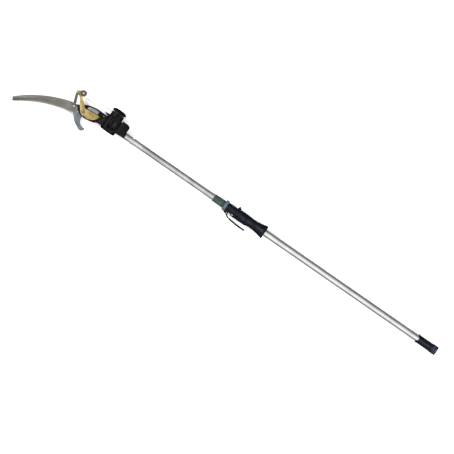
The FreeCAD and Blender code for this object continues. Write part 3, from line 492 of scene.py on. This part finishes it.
def makeBladeFinish():
    centre = centreThrough(*sawBlade["edge"])
    radius = math.dist(centre, sawBlade["edge"][0]) / 1000
    low, high = sawBlade["groundBand"]
    look = dict(sawLook)
    look["arcCentre"] = tuple(place(*centre)[:2])
    look["bandFrom"] = radius + high / 1000
    look["bandTo"] = radius + low / 1000
    look["tipFrom"], look["tipTo"] = (place(x, 0)[0] for x in sawBlade["tipShade"])
    return groundBlade("sawSteelGround", look)


finish["sawSteelGround"] = makeBladeFinish()

# node: (finish, slot, edge radius in mm)
dressing = {
    "saw_blade": ("sawSteelGround", "saw_steel", 0.3),
    "hook_jaw": ("hookSteelPhosphated", "hook_steel", 0.6),
    "cutter_lever": ("cutterSteelGoldCoated", "gold_coated_steel", 0.5),
    "head_shell_front": ("mouldedNylonBlack", "black_nylon", 0.6),
    "head_shell_back": ("mouldedNylonBlack", "black_nylon", 0.6),
    "socket": ("mouldedNylonBlack", "black_nylon", 0.6),
    "lock_body": ("lockNylonNavy", "black_nylon", 0.8),
    "tilt_knob": ("knobNylonBlack", "black_nylon", 1.2),
    "collar": ("collarAbsTeal", "collar_teal", 0.8),
    "flange_ring": ("flangeAbsSlate", "flange_slate", 1.0),
    "lock_lever": ("leverPowderCoat", "lever_enamel", 0.8),
    "lever_sleeve": ("dippedVinyl", "vinyl_dip", 1.2),
    "end_cap": ("capAbsSlate", "flange_slate", 0.8),
    "label_plate": ("labelFoilBrushed", "label_grey", 0.2),
    "pivot_bolt": ("boltSteelBlackened", "zinc_steel", 0.4),
}
coatOn = {"lock_lever": 0.8, "lever_sleeve": 1.0}      # mm of paint or vinyl, outwards
# material: the nodes that it covers where the CAD shape shows as it is, or lies under a new piece
plainNodes = {
    "zincPlatedSteel": ("pivot_nut", "saw_bolts", "shell_screws", "cap_screws", "cross_bolt", "cross_nut",
                        "lever_pin", "socket_pin", "turret_pin", "pivot_plug", "lower_pivot", "spring_post",
                        "spring_pin", "sheave_axle", "rope_ferrule"),
    "drawnTubeAnodised": ("outer_tube",),
    "satinTubeAnodised": ("inner_tube",),
    "sheaveNylon": ("lever_sheave", "socket_roller", "turret_roller", "inner_bush", "tube_end_bush"),
    "springWireOiled": ("lever_spring", "return_spring"),
    "polyesterRope": ("rope_lower_bend", "rope_knot", "rope_live", "rope_dead", "rope_wrap",
                      "rope_upper_bend", "rope_in_tubes"),
    # clamp_tube and clamp_washer take the dark hook steel instead of bright zinc, so that they show dark in
    # the gap under the knob: painted shade
    "hookSteelPhosphated": ("clamp_tube", "clamp_washer"),
    "turnedBrass": ("knob_insert",),
    "brakeLeather": ("brake_shoe",),
    "softGripRubber": ("grip_sleeve",),
    "mouldedNylonBlack": ("pull_handle",),
}


def paintNode(node, material):
    piece = frame["nodes"][node]
    piece.data.materials.clear()
    piece.data.materials.append(material)


def bodyOf(node):
    bodies = frame["record"]["behaviour"]["bodies"]
    return next(body for body, nodes in bodies.items() if node in nodes)


def dressNodes():
    for material, nodes in plainNodes.items():
        for node in nodes:
            paintNode(node, finish[material])
    for node, (material, slotName, radius) in dressing.items():
        paintNode(node, finish[material])
        words = node.split("_") if "_" in node else (node, "body")
        name = words[0] + "".join(word.capitalize() for word in words[1:])
        piece = softenedCopy(node, name, radius, coatOn.get(node, 0.0))
        finishPiece(piece, finish[material], bodyOf(node), (node,))


report("dressing the CAD pieces")
dressNodes()

# ---- grips
gripSleeve = {
    # x, radius above the pole, radius below it, half depth
    "outside": ((698, 21.0, 24.8, 21.0), (700, 23.4, 26.2, 23.4), (704, 24.0, 26.7, 24.0),
                (742, 23.6, 26.6, 23.6), (748, 23.2, 25.0, 23.2), (764, 22.0, 22.0, 22.0),
                (786, 21.8, 21.8, 21.8), (800, 23.6, 23.6, 23.6), (816, 26.6, 26.6, 26.6),
                (830, 30.2, 30.2, 30.2), (837, 32.0, 32.0, 32.0), (840.5, 32.0, 32.0, 32.0),
                (842, 30.0, 30.0, 30.0)),
    "ribs": (706.0, 832.0), "ribPitch": 6.0, "ribDepth": 0.4,
    "bore": 15.6, "boreStart": 700.0, "boreEnd": 838.0, "flare": 841.0, "sides": 72,
}
endHandle = {
    # x, radius
    "outside": ((1667, 20.4), (1669, 21.9), (1675, 21.4), (1679, 20.3), (1683, 19.2), (1744, 19.2),
                (1751, 20.3), (1752, 20.0)),
    "ribs": (1686.0, 1742.0), "ribPitch": 6.0, "ribDepth": 0.4,
    "bore": 15.9, "boreStart": 1668.0, "boreEnd": 1748.5, "web": 1751.0, "sides": 72,
    "ropeHole": 2.2, "knotRoom": 8.0, "shoulder": 17.0, "shoulderX": 1752.0, "tailEnd": 1761.0,
    "mouthRadius": 26.0, "mouthX": 1655.0, "mouthSides": 96, "mouthDepth": 90.0,
}
# how far across a rib each ring stands, and which share of the groove's depth it has
ribProfile = ((0.0, 1.0), (0.12, 0.35), (0.3, 0.0), (0.7, 0.0), (0.88, 0.35))


def radiusAt(stations, x):
    for left, right in zip(stations, stations[1:]):
        if left[0] <= x <= right[0]:
            share = (x - left[0]) / (right[0] - left[0])
            return [a + (b - a) * share for a, b in zip(left[1:], right[1:])]
    return list(stations[-1][1:])


def ribbedStations(shape):
    # Rounded ribs: each is up, across, down and a groove.
    first, last = shape["ribs"]
    pitch, depth = shape["ribPitch"], shape["ribDepth"]
    stations = [row for row in shape["outside"] if row[0] < first]
    x = first
    while x + pitch <= last:
        for part, share in ribProfile:
            here = x + pitch * part
            stations.append((here, *[r - depth * share for r in radiusAt(shape["outside"], here)]))
        x += pitch
    stations.append((x, *[r - depth for r in radiusAt(shape["outside"], x)]))
    return stations + [row for row in shape["outside"] if row[0] > x + 0.5]


def makeGripSleeve():
    rings = [(x, (up - down) / 2, (up + down) / 2, deep)
             for x, up, down, deep in ribbedStations(gripSleeve)]
    bore, start = gripSleeve["bore"], gripSleeve["boreStart"]
    rings += [(gripSleeve["flare"], 0, bore + 2, bore + 2), (gripSleeve["boreEnd"], 0, bore, bore),
              (start, 0, bore, bore), (start - 2, 0, bore + 1, bore + 1), rings[0]]
    sleeve = ringStack("gripSleeve", rings, gripSleeve["sides"])
    finishPiece(sleeve, finish["softGripRubber"], "pole", ("grip_sleeve",))


def makeEndHandle():
    rings = [(x, 0, r, r) for x, r in ribbedStations(endHandle)]
    bore, hole, room = endHandle["bore"], endHandle["ropeHole"], endHandle["knotRoom"]
    shoulder, tail = endHandle["shoulder"], endHandle["tailEnd"]
    web, end = endHandle["web"], endHandle["boreEnd"]
    rings += [(endHandle["shoulderX"], 0, shoulder, shoulder), (tail - 0.5, 0, shoulder, shoulder),
              (tail, 0, shoulder - 0.5, shoulder - 0.5), (tail, 0, room, room)]
    rings += [(web + 0.2, 0, room, room), (web, 0, hole, hole), (end + 0.2, 0, hole, hole)]
    rings += [(end, 0, bore, bore), (endHandle["boreStart"], 0, bore, bore), rings[0]]
    handle = ringStack("endHandle", rings, endHandle["sides"])
    clearSelection()
    bpy.ops.mesh.primitive_cylinder_add(
        vertices=endHandle["mouthSides"], radius=endHandle["mouthRadius"] / 1000,
        depth=endHandle["mouthDepth"] / 1000, location=place(endHandle["mouthX"]))
    cutter = bpy.context.object
    scoop = handle.modifiers.new("mouth", "BOOLEAN")
    scoop.operation = "DIFFERENCE"
    scoop.object = cutter
    applyModifiers(handle)
    bpy.data.objects.remove(cutter)
    pickOnly(handle)
    bpy.ops.object.shade_smooth_by_angle(angle=math.radians(35))
    finishPiece(handle, finish["softGripRubber"], "pull_handle", ("pull_handle",))


# ---- rope and spring
ropeRun = {
    "strand": 0.72, "offset": 0.78, "lay": 10.0, "count": 3,      # three strands make the 3 mm rope
    "roller": (-8.0, 47.0), "rollerRadius": 8.0,
    "sheave": (-181.0, 51.7), "sheaveClosed": (-106.16, 59.07), "sheaveRadius": 12.3, "lift": 6.4,
    "ferrule": (-54.0, 37.5),
    "knotX": 1753.5, "bendX": 28.0, "travel": 480.0,
    "wrapFrom": 87, "wrapTo": 334, "wrapStep": 13,        # degrees
    "wrapEase": 1.006,                                    # of the sheave's radius
    "fine": 0.0008, "coarse": 0.002,                      # metres between sampled points
}


def tangentPoints(sheave):
    # Where the live strand leaves the upper roller and meets the sheave.
    roller, small, large = ropeRun["roller"], ropeRun["rollerRadius"], ropeRun["sheaveRadius"]
    gapX, gapY = sheave[0] - roller[0], sheave[1] - roller[1]
    reach = math.hypot(gapX, gapY)
    alongX, alongY = gapX / reach, gapY / reach
    lean = (small - large) / reach
    rise = math.sqrt(1 - lean ** 2)
    nx, ny = alongX * lean + alongY * rise, alongY * lean - alongX * rise
    start = (roller[0] + nx * small, roller[1] + ny * small)
    meet = (sheave[0] + nx * large, sheave[1] + ny * large)
    return start, meet


def deadTangent(sheave):
    # Where the dead strand leaves the sheave on its way to the ferrule.
    ferrule, radius = ropeRun["ferrule"], ropeRun["sheaveRadius"]
    gapX, gapY = ferrule[0] - sheave[0], ferrule[1] - sheave[1]
    angle = math.atan2(gapY, gapX) - math.acos(radius / math.hypot(gapX, gapY))
    return sheave[0] + math.cos(angle) * radius, sheave[1] + math.sin(angle) * radius


def evenly(a, b, count):
    return [tuple(p + (q - p) * i / (count - 1) for p, q in zip(a, b)) for i in range(count)]


def squashStrand(piece):
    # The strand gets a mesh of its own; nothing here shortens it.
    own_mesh(piece)


def ropePiece(name, route, step, body, node):
    piece = layStrands(name, readLine(name + "Line", route, step), ropeRun)
    finishPiece(piece, finish["polyesterRope"], body, (node,))
    return piece


def makeHeadStrands():
    lift, fine, ferrule = ropeRun["lift"], ropeRun["fine"], ropeRun["ferrule"]
    start, meet = tangentPoints(ropeRun["sheave"])
    live = ropePiece("ropeLive", evenly((*start, 0.0), (*meet, lift), 5), fine, "head", "rope_live")
    squashStrand(live)
    leave = deadTangent(ropeRun["sheave"])
    dead = ropePiece("ropeDead", evenly((*leave, lift), (*ferrule, lift), 5), fine, "head", "rope_dead")
    squashStrand(dead)


def makeRopeBends():
    # The turn about the lever sheave, and the rise beside the upper roller.
    centre, reach = ropeRun["sheave"], ropeRun["sheaveRadius"] * ropeRun["wrapEase"]
    turn = []
    for degrees in range(ropeRun["wrapFrom"], ropeRun["wrapTo"], ropeRun["wrapStep"]):
        angle = math.radians(degrees)
        x, y = centre[0] + reach * math.cos(angle), centre[1] + reach * math.sin(angle)
        turn.append((x, y, ropeRun["lift"]))
    ropePiece("ropeWrap", turn, ropeRun["fine"], "cutter", "rope_wrap")
    top = ropeRun["roller"][1]
    start = tangentPoints(ropeRun["sheave"])[0]
    bend = [(0, 30, 0), (0, 36, 0), (0, 42, 0), (0, top, 0), (-0.6, top + 3.4, 0), (-2.6, top + 6.2, 0),
            (-5.2, top + 7.8, 0), (*start, 0)]
    ropePiece("ropeUpperBend", bend, ropeRun["fine"], "head", "rope_upper_bend")


def makeTubeRope():
    inside = evenly((ropeRun["bendX"], 0.0, 0.0), (ropeRun["knotX"], 0.0, 0.0), 9)
    hidden = ropePiece("ropeInTubes", inside, ropeRun["coarse"], "pull_handle", "rope_in_tubes")
    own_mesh(hidden)


returnSpring = {
    "foot": (-184.0, -20.5, 10.4), "top": (-208.0, 41.0, 10.4),
    "wire": 0.88, "coil": 5.7, "eye": 4.7, "hook": 8.0, "turns": 27, "perTurn": 18,
    "eyeSteps": 20, "eyeSweep": 330, "eyeGap": 15,        # degrees, open by a wire's width
    "neck": (1.6, 0.8, 0.4),                              # past the eye, aside and up
}


def makeReturnSpring():
    foot, top = place(*returnSpring["foot"]), place(*returnSpring["top"])
    ahead = (top - foot).normalized()
    length = (top - foot).length * 1000
    up = Vector((0, 0, 1))
    across = ahead.cross(up)
    eye, hook, coil = returnSpring["eye"], returnSpring["hook"], returnSpring["coil"]
    steps, sweep, gap = returnSpring["eyeSteps"], returnSpring["eyeSweep"], returnSpring["eyeGap"]
    past, aside, lift = returnSpring["neck"]
    track = []

    def point(run, side, rise):
        return foot + (ahead * run + across * side + up * rise) / 1000

    for step in range(steps + 1):
        turn = math.radians(180 - gap - sweep * step / steps)
        track.append(point(-eye * math.cos(turn), eye * math.sin(turn), 0))
    track.append(point(eye + past, -aside, lift))
    count = returnSpring["turns"] * returnSpring["perTurn"]
    for step in range(count + 1):
        turn = 2 * math.pi * step / returnSpring["perTurn"]
        run = hook + (length - 2 * hook) * step / count
        track.append(point(run, -coil * math.cos(turn), coil * math.sin(turn)))
    track.append(point(length - eye - past, -aside, lift))
    for step in range(steps + 1):
        turn = math.radians(gap + sweep * step / steps)
        track.append(point(length - eye * math.cos(turn), -eye * math.sin(turn), 0))
    wire = bpy.data.curves.new("returnSpring", "CURVE")
    wire.dimensions = "3D"
    wire.bevel_depth = returnSpring["wire"] / 1000
    wire.bevel_resolution = 2
    wire.use_fill_caps = True
    spline = wire.splines.new("POLY")
    spline.points.add(len(track) - 1)
    for knot, where in zip(spline.points, track):
        knot.co = (*where, 1)
    spring = bpy.data.objects.new("returnSpring", wire)
    scene.collection.objects.link(spring)
    pickOnly(spring)
    bpy.ops.object.convert(target="MESH")
    spring = bpy.context.object
    settle(spring, "returnSpring", 60)
    spring.data.materials.clear()
    spring.data.materials.append(finish["springWireOiled"])
    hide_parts("return_spring")
    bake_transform(spring)


report("grips")
makeGripSleeve()
makeEndHandle()
report("rope and spring")
makeHeadStrands()
makeRopeBends()
makeTubeRope()
makeReturnSpring()


# ---- light and floor
def makeStudio():
    clearSelection()
    bpy.ops.mesh.primitive_plane_add(size=studio["floorSize"], location=(0, 0, -studio["floorDrop"]))
    floor = bpy.context.object
    floor.name = "studioFloor"
    floor.data.materials.append(paperFloor("studioPaper"))
    floor.visible_glossy = False           # keeps the white paper out of the tubes' edges
    world = bpy.data.worlds.new("studioSky")
    world.use_nodes = True
    tree = world.node_tree
    where = addNode(tree, "TexCoord").outputs["Generated"]
    height = addNode(tree, "VectorMath", {0: where, 1: studio["skyTop"]}, operation="DOT_PRODUCT")
    glow = addNode(tree, "ValToRGB", {"Fac": height.outputs["Value"]}, stops=studio["sky"])
    tree.links.new(glow.outputs["Color"], tree.nodes["Background"].inputs["Color"])
    tree.nodes["Background"].inputs["Strength"].default_value = studio["skyStrength"]
    scene.world = world
    scene.view_settings.view_transform = "Standard"
    for name, spot, size, power in studio["panels"]:
        lamp = bpy.data.lights.new(name, "AREA")
        lamp.shape = "RECTANGLE"
        lamp.size, lamp.size_y = size
        lamp.energy = power
        panel = bpy.data.objects.new(name, lamp)
        scene.collection.objects.link(panel)
        panel.location = spot
        toward = Vector((0, 0, 0)) - Vector(spot)
        panel.rotation_euler = toward.to_track_quat("-Z", "Y").to_euler()


makeStudio()
report("finished")
